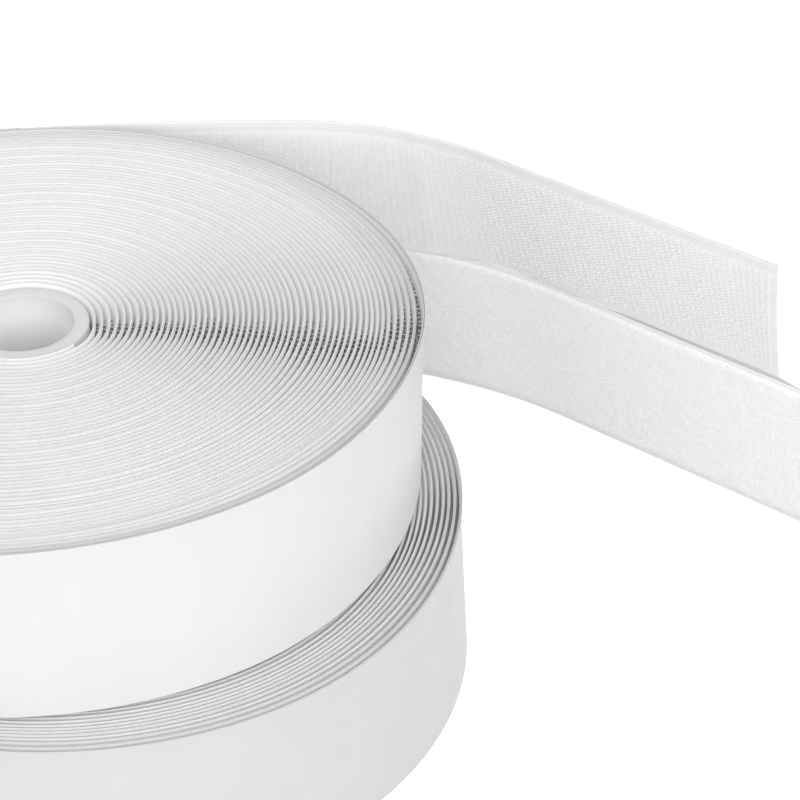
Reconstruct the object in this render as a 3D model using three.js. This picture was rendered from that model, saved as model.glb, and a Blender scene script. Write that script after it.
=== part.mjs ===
// A pair of rolls of self-adhesive hook-and-loop tape: the hook roll stacked on the loop roll,
// with a free tail drawn off each one. Units are millimetres and degrees. +Z is up, the surface
// that the rolls stand on is z = 0, and the origin is below the middle of the pair's outline.
import * as THREE from 'three';

// The tape: a woven base, its pile on the inner face, adhesive and release liner on the outer face
const TAPE_WIDTH = 50;
const BASE_THICKNESS = 0.4;
const ADHESIVE_THICKNESS = 0.12;
const LINER_THICKNESS = 0.1;
const HOOK_HEIGHT = 1;
const LOOP_HEIGHT = 1.2;
const HOOK_SELVAGE = 3.6;
const LOOP_SELVAGE = 1.4;
const LAYER_GAP = 0.05;

// The cores, and how the rolls stand on each other
const BORE_RADIUS = 13.5;
const CORE_WALL = 4;
const CORE_FACETS = 48;
const CORE_CLEARANCE = 0.3;
const STACK_GAP = 0.3;
const HOOK_TAPE_LIFT = 0.8;
const LOOP_TAPE_LIFT = 0;
const LOWER_ROLL_OFFSET_X = 8.3;
const LOWER_ROLL_OFFSET_Y = -8.2;

// The windings: each modelled turn stands for about two and a half turns of the real tape
const HOOK_ROLL_RADIUS = 104.2;
const HOOK_TURNS = 22;
const HOOK_INNER_END_ANGLE = -40;
const LOOP_ROLL_RADIUS = 108;
const LOOP_TURNS = 21;
const LOOP_INNER_END_ANGLE = 8;
const STEPS_PER_TURN = 24;
const TURN_GAP = 1;

// What both tails share
const ROOT_GAP = 0.5;
const TAIL_STEP = 8;
const PEEL_LENGTH = 40;
const FOLD_GAP = 0.3;

// The hook tail leaves its roll straight, bends once and leans over as it goes
const HOOK_TAIL_ANGLE = 95;
const HOOK_TAIL_LENGTH = 241.4;
const HOOK_TAIL_STRAIGHT = 82.4;
const HOOK_TAIL_BEND_ANGLE = 44.4;
const HOOK_TAIL_BEND_RADIUS = 82;
const HOOK_TAIL_LEAN_ANGLE = 19.3;
const HOOK_TAIL_LEAN_START = 14;
const HOOK_TAIL_LEAN_RUN = 135;
const HOOK_TAIL_RISE = 0.2;
const HOOK_TAIL_CUT_SKEW = 8;

// The loop tail springs open round its roll, wider than the roll by the two openings
const LOOP_TAIL_ANGLE = 143;
const LOOP_TAIL_LENGTH = 385;
const LOOP_TAIL_FIRST_BEND_ANGLE = 31.6;
const LOOP_TAIL_FIRST_OPENING = 85.3;
const LOOP_TAIL_SECOND_BEND_ANGLE = 62;
const LOOP_TAIL_SECOND_OPENING = 30.8;
const LOOP_TAIL_LEAN_ANGLE = 7.5;
const LOOP_TAIL_LEAN_START = 60;
const LOOP_TAIL_LEAN_RUN = 120;
const LOOP_TAIL_RISE = 0.5;
const LOOP_TAIL_CUT_SKEW = 2;

const FULL_TURN = 360;
const { degToRad, smoothstep, euclideanModulo } = THREE.MathUtils;

const FINISH = {
  core: { color: 0xe6e6e4, roughness: 0.7, metalness: 0 },
  winding: { color: 0xececea, roughness: 0.6, metalness: 0 },
  tape: { color: 0xeeeeec, roughness: 0.85, metalness: 0 },
  hooks: { color: 0xe9e9e8, roughness: 0.45, metalness: 0 },
  pile: { color: 0xeeeeed, roughness: 0.95, metalness: 0 },
  adhesive: { color: 0xe4e2da, roughness: 0.25, metalness: 0 },
  liner: { color: 0xf1f1f0, roughness: 0.4, metalness: 0 },
};

function makeMesh(name, geometry, finish) {
  const mesh = new THREE.Mesh(geometry, new THREE.MeshStandardMaterial(finish));
  mesh.name = name;
  return mesh;
}

// Six times the volume inside the triangles: negative where the faces point inwards.
function signedVolume(points, index) {
  let sum = 0;
  for (let i = 0; i < index.length; i += 3) {
    const [a, b, c] = index.slice(i, i + 3).map((k) => points[k]);
    sum += a.dot(new THREE.Vector3().crossVectors(b, c));
  }
  return sum;
}

// A closed body through rings of equal size. A ring runs out along one row of points and back
// along a second row, so that a cap is a ladder between the two rows. Both rows split their
// facets along the same slant, so that layers which twist together stay evenly apart.
function bodyThrough(rings) {
  const size = rings[0].length;
  const points = rings.flat();
  const last = points.length - size;
  const index = [];
  for (let start = 0; start < last; start += size) {
    for (let k = 0; k < size; k += 1) {
      const a = start + k;
      const b = start + ((k + 1) % size);
      if (k < size / 2) {
        index.push(a, b, b + size, a, b + size, a + size);
      } else {
        index.push(a, b, a + size, b, b + size, a + size);
      }
    }
  }
  for (let k = 0; k + 1 < size / 2; k += 1) {
    const far = size - 1 - k;
    index.push(k, far - 1, k + 1, k, far, far - 1);
    index.push(last + k, last + k + 1, last + far - 1, last + k, last + far - 1, last + far);
  }
  const outward = signedVolume(points, index) > 0 ? index : index.reverse();
  const geometry = new THREE.BufferGeometry().setFromPoints(points);
  geometry.setIndex(outward);
  geometry.computeVertexNormals();
  return geometry;
}

// The core is an open tube as long as the tape is wide. The tape may be wound a little way up it.
function makeCore(tapeLift) {
  const outer = BORE_RADIUS + CORE_WALL;
  const profile = [
    new THREE.Vector2(BORE_RADIUS, 0),
    new THREE.Vector2(outer, 0),
    new THREE.Vector2(outer, TAPE_WIDTH),
    new THREE.Vector2(BORE_RADIUS, TAPE_WIDTH),
    new THREE.Vector2(BORE_RADIUS, 0),
  ];
  const tube = new THREE.LatheGeometry(profile, CORE_FACETS).rotateX(degToRad(90));
  return tube.translate(0, 0, -tapeLift);
}

// The winding is one band that spirals out from the core, clockwise seen from above, and ends
// where the tail leaves the roll.
function windingRings(roll) {
  const start = BORE_RADIUS + CORE_WALL + CORE_CLEARANCE;
  const rest = euclideanModulo(roll.innerEndAngle - roll.tail.angle, FULL_TURN);
  const turns = roll.turns + rest / FULL_TURN;
  const pitch = (roll.radius - start + TURN_GAP) / (turns + 1);
  const band = pitch - TURN_GAP;
  const steps = Math.ceil(turns * STEPS_PER_TURN);
  const rings = [];
  for (let i = 0; i <= steps; i += 1) {
    const turn = (turns * i) / steps;
    const angle = degToRad(roll.innerEndAngle - turn * FULL_TURN);
    const inner = start + pitch * turn;
    const corner = (radius, z) => {
      return new THREE.Vector3(radius * Math.cos(angle), radius * Math.sin(angle), z);
    };
    rings.push([
      corner(inner, 0),
      corner(inner + band, 0),
      corner(inner + band, TAPE_WIDTH),
      corner(inner, TAPE_WIDTH),
    ]);
  }
  return rings;
}

// The least distance from the inner face of a winding to the outer face of the turns inside it,
// over the corners of the facets and the points halfway between them.
function leastGap(rings) {
  const face = (corner) => rings.slice(1).flatMap((ring, i) => [
    rings[i][corner],
    rings[i][corner].clone().lerp(ring[corner], 0.5),
  ]);
  const innerFace = face(0);
  const outerFace = face(1);
  const halfTurn = STEPS_PER_TURN;
  let least = Infinity;
  for (let i = halfTurn; i < innerFace.length; i += 1) {
    for (let k = 0; k <= i - halfTurn; k += 1) {
      least = Math.min(least, innerFace[i].distanceTo(outerFace[k]));
    }
  }
  return least;
}

// Where a line of runs gets to after a distance. A run is a length and the angle that it turns
// to the right, spread evenly, and its chord points halfway through that angle.
function walk(runs, heading, distance) {
  const place = { x: 0, y: 0, heading };
  let left = distance;
  for (const run of runs) {
    const part = Math.min(left, run.length);
    const half = (-0.5 * run.turn * part) / run.length;
    const chord = half === 0 ? part : (part * Math.sin(half)) / half;
    place.x += chord * Math.cos(place.heading + half);
    place.y += chord * Math.sin(place.heading + half);
    place.heading += 2 * half;
    left -= part;
  }
  return place;
}

// A point of a tail: along its length, across its width from the middle, and outward from the
// middle of the woven base, away from the roll. The lower edge rises a little as the tail leans.
function tailPoint(roll, along, across, outward) {
  const { tail } = roll;
  const backing = BASE_THICKNESS / 2 + 2 * LAYER_GAP + ADHESIVE_THICKNESS + LINER_THICKNESS;
  const rootRadius = roll.radius - backing;
  const rootAngle = degToRad(tail.angle);
  const place = walk(tail.runs, rootAngle - Math.PI / 2, along);
  const leant = smoothstep(along, tail.leanStart, tail.leanStart + tail.leanRun);
  const lean = degToRad(tail.lean) * leant;
  const towardsRoll = new THREE.Vector3(Math.sin(place.heading), -Math.cos(place.heading), 0);
  const up = new THREE.Vector3(0, 0, 1);
  const width = up.clone().multiplyScalar(Math.cos(lean)).addScaledVector(towardsRoll, Math.sin(lean));
  const away = up.clone().multiplyScalar(Math.sin(lean)).addScaledVector(towardsRoll, -Math.cos(lean));
  return new THREE.Vector3(
    rootRadius * Math.cos(rootAngle) + place.x,
    rootRadius * Math.sin(rootAngle) + place.y,
    tail.rise * leant + (TAPE_WIDTH / 2) * Math.cos(lean),
  ).addScaledVector(width, across).addScaledVector(away, outward);
}

// One layer of a tail over a span of its length. A span with a cut end runs on, straight, to the
// slanted cut. The rows are places across the width, and inside is the layer's face by the roll.
function layerBody(roll, span, rows, inside, thickness) {
  const { tail } = roll;
  const ring = (place) => [
    ...rows.map((across) => tailPoint(roll, place(across), across, inside)),
    ...rows.toReversed().map((across) => tailPoint(roll, place(across), across, inside + thickness)),
  ];
  const reach = span.until - span.from;
  const steps = Math.ceil(reach / TAIL_STEP);
  const rings = [ring(() => span.from)];
  for (let i = 1; i <= steps; i += 1) {
    const along = span.from + (reach * i) / steps;
    rings.push(ring(() => along));
  }
  if (span.cutEnd) {
    rings.push(ring((across) => tail.length - tail.cutSkew * (0.5 - across / TAPE_WIDTH)));
  }
  return bodyThrough(rings);
}

function makeTail(roll) {
  const edge = TAPE_WIDTH / 2;
  const pileEdge = edge - roll.selvage;
  const fullRows = [-edge, -pileEdge, pileEdge, edge];
  const pileRows = [-pileEdge, pileEdge];
  const fold = roll.tail.length - PEEL_LENGTH;
  const whole = { from: ROOT_GAP, until: fold, cutEnd: true };
  const stuck = { from: ROOT_GAP, until: fold - FOLD_GAP / 2, cutEnd: false };
  const loose = { from: fold + FOLD_GAP / 2, until: fold + FOLD_GAP / 2, cutEnd: true };
  const baseInside = -BASE_THICKNESS / 2;
  const pileInside = baseInside - LAYER_GAP - roll.pileHeight;
  const adhesiveInside = BASE_THICKNESS / 2 + LAYER_GAP;
  const linerInside = adhesiveInside + ADHESIVE_THICKNESS + LAYER_GAP;
  const layer = (name, finish, span, rows, inside, thickness) => {
    return makeMesh(`${roll.name}_${name}`, layerBody(roll, span, rows, inside, thickness), finish);
  };
  return [
    layer('tail_tape', FINISH.tape, whole, fullRows, baseInside, BASE_THICKNESS),
    layer(`tail_${roll.pileName}`, FINISH[roll.pileName], whole, pileRows, pileInside, roll.pileHeight),
    layer('tail_adhesive', FINISH.adhesive, whole, fullRows, adhesiveInside, ADHESIVE_THICKNESS),
    layer('tail_liner', FINISH.liner, stuck, fullRows, linerInside, LINER_THICKNESS),
    layer('liner_end', FINISH.liner, loose, fullRows, linerInside, LINER_THICKNESS),
  ];
}

function makeRoll(roll) {
  const group = new THREE.Group();
  const rings = windingRings(roll);
  console.log(`${roll.name}_winding: least gap to itself ${leastGap(rings).toFixed(2)} mm`);
  group.add(makeMesh(`${roll.name}_core`, makeCore(roll.tapeLift), FINISH.core));
  group.add(makeMesh(`${roll.name}_winding`, bodyThrough(rings), FINISH.winding));
  group.add(...makeTail(roll));
  return group;
}

function bendRun(degrees, radius) {
  const turn = degToRad(degrees);
  return { length: radius * turn, turn };
}

function straightRun(length) {
  return { length, turn: 0 };
}

const hookRoll = makeRoll({
  name: 'hook',
  radius: HOOK_ROLL_RADIUS,
  turns: HOOK_TURNS,
  tapeLift: HOOK_TAPE_LIFT,
  innerEndAngle: HOOK_INNER_END_ANGLE,
  pileName: 'hooks',
  pileHeight: HOOK_HEIGHT,
  selvage: HOOK_SELVAGE,
  tail: {
    angle: HOOK_TAIL_ANGLE,
    length: HOOK_TAIL_LENGTH,
    runs: [
      straightRun(HOOK_TAIL_STRAIGHT),
      bendRun(HOOK_TAIL_BEND_ANGLE, HOOK_TAIL_BEND_RADIUS),
      straightRun(HOOK_TAIL_LENGTH),
    ],
    lean: HOOK_TAIL_LEAN_ANGLE,
    leanStart: HOOK_TAIL_LEAN_START,
    leanRun: HOOK_TAIL_LEAN_RUN,
    rise: HOOK_TAIL_RISE,
    cutSkew: HOOK_TAIL_CUT_SKEW,
  },
});
hookRoll.position.z = TAPE_WIDTH + STACK_GAP + HOOK_TAPE_LIFT;

const loopRoll = makeRoll({
  name: 'loop',
  radius: LOOP_ROLL_RADIUS,
  turns: LOOP_TURNS,
  tapeLift: LOOP_TAPE_LIFT,
  innerEndAngle: LOOP_INNER_END_ANGLE,
  pileName: 'pile',
  pileHeight: LOOP_HEIGHT,
  selvage: LOOP_SELVAGE,
  tail: {
    angle: LOOP_TAIL_ANGLE,
    length: LOOP_TAIL_LENGTH,
    runs: [
      bendRun(LOOP_TAIL_FIRST_BEND_ANGLE, LOOP_ROLL_RADIUS + LOOP_TAIL_FIRST_OPENING),
      bendRun(LOOP_TAIL_SECOND_BEND_ANGLE, LOOP_ROLL_RADIUS + LOOP_TAIL_SECOND_OPENING),
      straightRun(LOOP_TAIL_LENGTH),
    ],
    lean: LOOP_TAIL_LEAN_ANGLE,
    leanStart: LOOP_TAIL_LEAN_START,
    leanRun: LOOP_TAIL_LEAN_RUN,
    rise: LOOP_TAIL_RISE,
    cutSkew: LOOP_TAIL_CUT_SKEW,
  },
});
loopRoll.position.set(LOWER_ROLL_OFFSET_X, LOWER_ROLL_OFFSET_Y, LOOP_TAPE_LIFT);

const tapePair = new THREE.Group();
tapePair.add(hookRoll, loopRoll);
const outline = new THREE.Box3().setFromObject(tapePair);
const middle = outline.getCenter(new THREE.Vector3());
tapePair.position.set(-middle.x, -middle.y, -outline.min.z);

export default tapePair;
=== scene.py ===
# %% [markdown]
# # A stacked pair of rolls of hook-and-loop tape
#
# The object is a mating pair of self-adhesive tapes. A roll of hook tape stands on a roll of loop
# tape, and a free tail is drawn off each roll. Every tape is a sandwich: a woven base, a pile of
# hooks or loops on its inner face, and a coat of adhesive under a release film on its outer face.
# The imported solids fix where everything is. This lesson dresses them, piece by piece.

import math
from types import SimpleNamespace

import bpy
import numpy as np
from mathutils import Matrix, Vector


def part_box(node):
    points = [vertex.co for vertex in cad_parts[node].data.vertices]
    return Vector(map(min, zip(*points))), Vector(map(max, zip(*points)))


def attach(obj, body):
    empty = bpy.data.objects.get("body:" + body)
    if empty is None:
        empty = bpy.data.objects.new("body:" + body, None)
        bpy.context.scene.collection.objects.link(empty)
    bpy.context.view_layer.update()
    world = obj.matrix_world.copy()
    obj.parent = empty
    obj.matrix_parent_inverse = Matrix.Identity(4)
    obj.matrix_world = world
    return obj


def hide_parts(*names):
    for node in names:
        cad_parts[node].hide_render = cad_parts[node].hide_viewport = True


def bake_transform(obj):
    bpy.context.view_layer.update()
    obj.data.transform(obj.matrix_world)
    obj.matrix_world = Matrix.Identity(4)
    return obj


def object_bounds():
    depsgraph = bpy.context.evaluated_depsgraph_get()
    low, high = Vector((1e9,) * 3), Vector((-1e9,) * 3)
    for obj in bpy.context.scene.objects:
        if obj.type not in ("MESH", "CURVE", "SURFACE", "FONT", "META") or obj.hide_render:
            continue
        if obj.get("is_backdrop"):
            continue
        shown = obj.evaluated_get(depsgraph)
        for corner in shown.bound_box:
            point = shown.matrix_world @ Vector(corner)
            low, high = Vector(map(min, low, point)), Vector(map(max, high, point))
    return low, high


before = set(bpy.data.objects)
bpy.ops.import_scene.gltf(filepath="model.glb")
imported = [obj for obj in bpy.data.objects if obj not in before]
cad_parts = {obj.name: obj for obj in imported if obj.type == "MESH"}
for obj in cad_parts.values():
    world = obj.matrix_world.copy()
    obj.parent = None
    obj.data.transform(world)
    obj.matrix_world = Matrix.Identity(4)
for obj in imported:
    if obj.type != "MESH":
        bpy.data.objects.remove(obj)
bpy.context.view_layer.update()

# %% [markdown]
# ## One set of sizes
#
# All lengths below are millimetres, because that is how tape is sold, and one factor turns them to
# Blender's metres when a mesh is written. The axes and the floor of each roll are read from the
# solids, so the pieces land where the frame says. The layer sizes repeat those of the solids.

# %% Sizes of the tape, and where the rolls stand
MM = 0.001
TAPE_WIDTH = 50.0
HALF_WIDTH = TAPE_WIDTH / 2
HOOK_SELVAGE, LOOP_SELVAGE = 3.6, 1.4
BASE_HALF = 0.2
GLUE = (0.25, 0.37)
FILM = (0.42, 0.52)
PEEL_LENGTH = 40.0
CORE_BORE, CORE_OUTER = 13.5, 17.5


def node_box(node):
    """The lowest and the highest corner of a solid, in mm."""
    return [np.array(corner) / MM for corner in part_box(node)]


hook_core_low, hook_core_high = node_box("hook_core")
loop_core_low, loop_core_high = node_box("loop_core")
hook_axis = (hook_core_low + hook_core_high)[:2] / 2
loop_axis = (loop_core_low + loop_core_high)[:2] / 2
hook_floor = node_box("hook_winding")[0][2]
loop_floor = node_box("loop_winding")[0][2]
print("hook axis", hook_axis.round(2), "tape from", hook_floor.round(2), "mm up")
print("loop axis", loop_axis.round(2), "tape from", loop_floor.round(2), "mm up")

# %% [markdown]
# ## The camera
#
# A camera is known once we know where it stands, where it looks and how long its lens is. Here the
# rims of both rolls were used: circles of known size look like ellipses, and their shapes give the
# height and distance of the eye. The focal length comes out in pixels of an 800 pixel frame, and
# the lens in millimetres is that share of Blender's 36 mm sensor.

# %% Set up the camera
FRAME_PIXELS = 800
FOCAL_PIXELS = 3391
SENSOR_WIDTH = 36.0
LOOK_DOWN = math.radians(33.71)
CAMERA_ROLL = math.radians(-0.93)
CAMERA_FROM_HOOK_AXIS = (98.7, -752.3)
CAMERA_HEIGHT = 575.9

camera_data = bpy.data.cameras.new("tape_camera")
camera_data.sensor_width = SENSOR_WIDTH
camera_data.lens = FOCAL_PIXELS / FRAME_PIXELS * SENSOR_WIDTH
camera_data.clip_start, camera_data.clip_end = 0.05, 20
camera = bpy.data.objects.new("tape_camera", camera_data)
bpy.context.collection.objects.link(camera)

forward = np.array([0, math.cos(LOOK_DOWN), -math.sin(LOOK_DOWN)])
level_right = np.array([1.0, 0, 0])
level_up = np.cross(level_right, forward)
right = math.cos(CAMERA_ROLL) * level_right + math.sin(CAMERA_ROLL) * level_up
upward = math.cos(CAMERA_ROLL) * level_up - math.sin(CAMERA_ROLL) * level_right
stand = np.array([*(hook_axis + CAMERA_FROM_HOOK_AXIS), CAMERA_HEIGHT]) * MM
camera_matrix = np.eye(4)
camera_matrix[:3] = np.column_stack([right, upward, -forward, stand])
camera.matrix_world = Matrix(camera_matrix.tolist())
bpy.context.scene.camera = camera
print("lens", round(camera_data.lens, 1), "mm at", stand.round(3), "m")

# %% [markdown]
# ## Colours and nodes
#
# A colour is written as it would be picked on a screen, as an sRGB hex value, and Blender's shaders
# want linear light, so one function undoes the screen's curve. A second one adds a node, sets its
# properties and fills its sockets: a node or socket given to it is linked, anything else is a value.
# White yarn and film, and the hooks and the loop pile too, get a trace of white emission: a painted
# glow that keeps them pale in the shade, like a fill light that no shadow reaches.

# %% Helpers for colours and node trees
def srgb(code):
    """Linear colour of an sRGB hex value: v / 12.92 near black, else ((v + 0.055) / 1.055) ^ 2.4."""
    value = np.array([int(code[i:i + 2], 16) for i in (1, 3, 5)]) / 255
    linear = np.where(value <= 0.04045, value / 12.92, ((value + 0.055) / 1.055) ** 2.4)
    return (*linear.tolist(), 1.0)


def add_node(tree, kind, inputs=None, **settings):
    """Adds a shader node of that kind to a tree, with its settings, its values and its links.

    A node given as an input is linked from the first of its outputs that is in use."""
    node = tree.nodes.new("ShaderNode" + kind)
    for name, value in settings.items():
        setattr(node, name, value)
    for key, value in (inputs or {}).items():
        if isinstance(value, bpy.types.Node):
            value = next(output for output in value.outputs if output.enabled)
        if isinstance(value, bpy.types.NodeSocket):
            tree.links.new(value, node.inputs[key])
        else:
            node.inputs[key].default_value = value
    return node


def start_material(name):
    """An empty node material of that name, and its tree."""
    material = bpy.data.materials.new(name)
    material.use_nodes = True
    material.node_tree.nodes.clear()
    return material, material.node_tree


def wave_scale(period):
    """Scale of a Wave texture with bands every so many mm: the node counts 20 radians a unit."""
    return 2 * math.pi / (20 * period * MM)


def noise_scale(size):
    """Scale of a Noise texture whose blotches are about so many mm across."""
    return 1 / (size * MM)


MIX_A, MIX_B = 6, 7
# Painted glow: a trace of white emission that lifts the white materials in the shade.
PAINTED_GLOW = {"Emission Color": srgb("#FFFFFF"), "Emission Strength": 0.045}
print("white paper", [round(v, 3) for v in srgb("#F2F2F2")])

# %% [markdown]
# ## Finish: woven polyamide tape
#
# The base is a close plain weave of polyamide yarn, dyed white and pressed flat. To the eye it is a
# matt, slightly silky white with a very faint grid. The real threads are about 0.3 mm apart, about
# one pixel here, so the grid is drawn at 0.5 mm to show at all. Two Wave textures on the strip's own
# UV map, one along and one across, are multiplied into the bumps of a plain weave. Where the tape
# was slit to its width the edge is a little greyer, partly from the cut ends of the yarn and partly as
# painted shade in the grooves. On the outer turns of each roll it is painted much greyer: painted shade
# at the rim of the upper roll, and under the upper roll on the lower one. The UV map counts the length
# from the root of the tail, in metres.

# %% Woven polyamide
woven_polyamide, tree = start_material("woven_polyamide")
WEAVE_SPACING = 0.5
strip = add_node(tree, "TexCoord").outputs["UV"]
warp, weft = (add_node(tree, "TexWave", {
    "Vector": strip, "Scale": wave_scale(WEAVE_SPACING), "Distortion": 0.4, "Detail": 1.0,
    "Detail Scale": 0.6}, bands_direction=direction) for direction in "XY")
crossing = add_node(tree, "Math", {
    0: warp.outputs["Fac"], 1: weft.outputs["Fac"]}, operation="MULTIPLY")
place = add_node(tree, "TexCoord").outputs["Object"]
blotch = add_node(tree, "TexNoise", {
    "Vector": place, "Scale": noise_scale(14), "Detail": 3.0, "Roughness": 0.55})
tone = add_node(tree, "Mix", {
    0: blotch, MIX_A: srgb("#F1F1F1"), MIX_B: srgb("#F9F9F9")}, data_type="RGBA")
threads = add_node(tree, "Mix", {
    0: crossing, MIX_A: srgb("#F4F4F4"), MIX_B: srgb("#FFFFFF")}, data_type="RGBA")
colour = add_node(tree, "Mix", {
    0: 1.0, MIX_A: tone, MIX_B: threads}, data_type="RGBA", blend_type="MULTIPLY")
along, across, _ = add_node(tree, "SeparateXYZ", {0: strip}).outputs
from_middle = add_node(tree, "Math", {0: across}, operation="ABSOLUTE")
cut_edge = add_node(tree, "MapRange", {
    "Value": from_middle, "From Min": (HALF_WIDTH - 0.1) * MM, "From Max": (HALF_WIDTH - 0.02) * MM})
# Painted shade: the cut edges darken over the outer turns of each roll, but not on the tails.
edge_shade_ramp = add_node(tree, "MapRange", {"Value": along, "From Min": -5.0, "From Max": -0.4})
on_tail = add_node(tree, "Math", {0: along, 1: 0.0}, operation="GREATER_THAN")
painted_edge_shade = add_node(tree, "Math", {0: edge_shade_ramp, 1: on_tail}, operation="SUBTRACT", use_clamp=True)
shaded_edge_tone = add_node(tree, "Mix", {
    0: painted_edge_shade, MIX_A: srgb("#D6D6D6"), MIX_B: srgb("#B6B6B6")}, data_type="RGBA")
colour = add_node(tree, "Mix", {0: cut_edge, MIX_A: colour, MIX_B: shaded_edge_tone}, data_type="RGBA")
relief = add_node(tree, "MapRange", {"Value": cut_edge, "To Min": 0.3, "To Max": 0.02})
bump = add_node(tree, "Bump", {"Height": crossing, "Distance": 0.04 * MM, "Strength": relief})
# The shader adds the painted glow, a trace of emission.
shader = add_node(tree, "BsdfPrincipled", {
    "Base Color": colour, "Roughness": 0.72, "IOR": 1.53, "Sheen Weight": 0.15, "Sheen Roughness": 0.5,
    "Normal": bump, **PAINTED_GLOW})
add_node(tree, "OutputMaterial", {"Surface": shader})
print(woven_polyamide.name, "weave drawn at", WEAVE_SPACING, "mm")

# %% [markdown]
# ## Finish: silicone-coated release film
#
# The film that covers the adhesive is a thin polyester film with a silicone coat. It is smooth, so
# it has a soft satin gloss, and a tension that is never quite even leaves long shallow ripples. A
# slow Noise texture, stretched along the strip, gives the ripples, and a second one a trace of haze.
# The outer turns, which are the last metres of the length in the UV map, and the tails past them are
# a little greyer: painted shade. The film of the lower roll is greyer throughout, painted shade for
# that roll.

# %% Release film
def make_film(name, lit_tones, shaded_tones, shade_from):
    """A release film that has two lit tones inside the roll and takes on the two shaded ones, painted
    shade, over its last metres, from shade_from on."""
    material, tree = start_material(name)
    strip = add_node(tree, "TexCoord").outputs["UV"]
    stretched = add_node(tree, "Mapping", {"Vector": strip, "Scale": (1.0, 0.35, 1.0)})
    ripple = add_node(tree, "TexNoise", {"Vector": stretched, "Scale": noise_scale(16), "Detail": 2.0})
    haze = add_node(tree, "TexNoise", {
        "Vector": strip, "Scale": noise_scale(7), "Detail": 4.0, "Roughness": 0.6})
    lit, shaded = (add_node(tree, "Mix", {
        0: ripple, MIX_A: srgb(dark), MIX_B: srgb(pale)}, data_type="RGBA")
        for dark, pale in (lit_tones, shaded_tones))
    along = add_node(tree, "SeparateXYZ", {0: strip}).outputs["X"]
    # Painted shade: the film darkens to the shaded tones over the last metres of the roll and on the
    # tails.
    film_shade_ramp = add_node(tree, "MapRange", {"Value": along, "From Min": -shade_from, "From Max": -0.7})
    colour = add_node(tree, "Mix", {0: film_shade_ramp, MIX_A: lit, MIX_B: shaded}, data_type="RGBA")
    gloss = add_node(tree, "MapRange", {
        "Value": haze, "From Min": 0.3, "From Max": 0.7, "To Min": 0.34, "To Max": 0.46})
    bump = add_node(tree, "Bump", {"Height": ripple, "Strength": 0.25, "Distance": 0.5 * MM})
    # The shader adds the painted glow, a trace of emission.
    shader = add_node(tree, "BsdfPrincipled", {
        "Base Color": colour, "Roughness": gloss, "IOR": 1.45, "Normal": bump, **PAINTED_GLOW})
    add_node(tree, "OutputMaterial", {"Surface": shader})
    print(material.name)
    return material


hook_film = make_film("silicone_release_film", ("#F8F8F8", "#FCFCFC"), ("#D7D7D7", "#DDDDDD"), 2.0)
# Painted shade: the lower roll's film is a greyer copy of the same film.
shaded_loop_film = make_film("silicone_release_film_lower", ("#DCDCDC", "#E2E2E2"), ("#C8C8C8", "#CECECE"),
                      1.0)

# %% [markdown]
# ## Finish: acrylic adhesive
#
# Between base and film lies a coat of clear acrylic adhesive. Where an edge of it shows it looks
# slightly warm and wet. A fine Noise texture stands for the pull marks that tacky coats keep.

# %% Acrylic adhesive
acrylic_adhesive, tree = start_material("acrylic_adhesive")
strip = add_node(tree, "TexCoord").outputs["UV"]
pull = add_node(tree, "TexNoise", {"Vector": strip, "Scale": noise_scale(2.5), "Detail": 3.0})
colour = add_node(tree, "Mix", {
    0: pull, MIX_A: srgb("#E0DFDA"), MIX_B: srgb("#E8E7E3")}, data_type="RGBA")
bump = add_node(tree, "Bump", {"Height": pull, "Strength": 0.4, "Distance": 0.1 * MM})
shader = add_node(tree, "BsdfPrincipled", {
    "Base Color": colour, "Roughness": 0.22, "IOR": 1.47, "Normal": bump})
add_node(tree, "OutputMaterial", {"Surface": shader})
print(acrylic_adhesive.name)

# %% [markdown]
# ## Finish: polyamide monofilament
#
# The hooks are stiff single filaments of polyamide, drawn through a die, so they are glassy smooth
# and catch small bright glints. They are a hair greyer than the yarn because light passes into them.

# %% Monofilament of the hooks
hook_monofilament, tree = start_material("polyamide_monofilament")
place = add_node(tree, "TexCoord").outputs["Object"]
batch = add_node(tree, "TexNoise", {"Vector": place, "Scale": noise_scale(3), "Detail": 2.0})
colour = add_node(tree, "Mix", {
    0: batch, MIX_A: srgb("#E8E8E8"), MIX_B: srgb("#F4F4F4")}, data_type="RGBA")
# The shader adds the painted glow, a trace of emission.
shader = add_node(tree, "BsdfPrincipled", {
    "Base Color": colour, "Roughness": 0.28, "IOR": 1.53, **PAINTED_GLOW})
add_node(tree, "OutputMaterial", {"Surface": shader})
print(hook_monofilament.name)

# %% [markdown]
# ## Finish: crowded pile between the turns
#
# Between two turns of a roll the pile stands so close that single hooks or loops can't be told apart,
# and little light gets in among them. The bed that stands for it is painted shade, a dark grey, with
# paler specks as painted glints where hook tips catch the light. On the upper roll the specks are
# about 0.9 mm apart, made with a Voronoi texture of that size. Loops are finer and softer, so on the
# lower roll they hardly show.

# %% Crowded pile
def make_crowd(name, spacing, shade_tone, tip):
    """A bed of crowded pile: the shade tone, painted shade, and the tip tone, painted glints, near the
    points of a Voronoi texture.
    """
    material, tree = start_material(name)
    place = add_node(tree, "TexCoord").outputs["Object"]
    tips = add_node(tree, "TexVoronoi", {
        "Vector": place, "Scale": noise_scale(spacing), "Randomness": 0.8})
    glint_mask = add_node(tree, "MapRange", {
        "Value": tips, "From Min": 0.15, "From Max": 0.55, "To Min": 1.0, "To Max": 0.0})
    colour = add_node(tree, "Mix", {0: glint_mask, MIX_A: srgb(shade_tone), MIX_B: srgb(tip)}, data_type="RGBA")
    bump = add_node(tree, "Bump", {"Height": glint_mask, "Strength": 0.7, "Distance": 0.25 * MM})
    shader = add_node(tree, "BsdfPrincipled", {
        "Base Color": colour, "Roughness": 0.6, "IOR": 1.53, "Normal": bump})
    add_node(tree, "OutputMaterial", {"Surface": shader})
    print(material.name)
    return material


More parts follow.
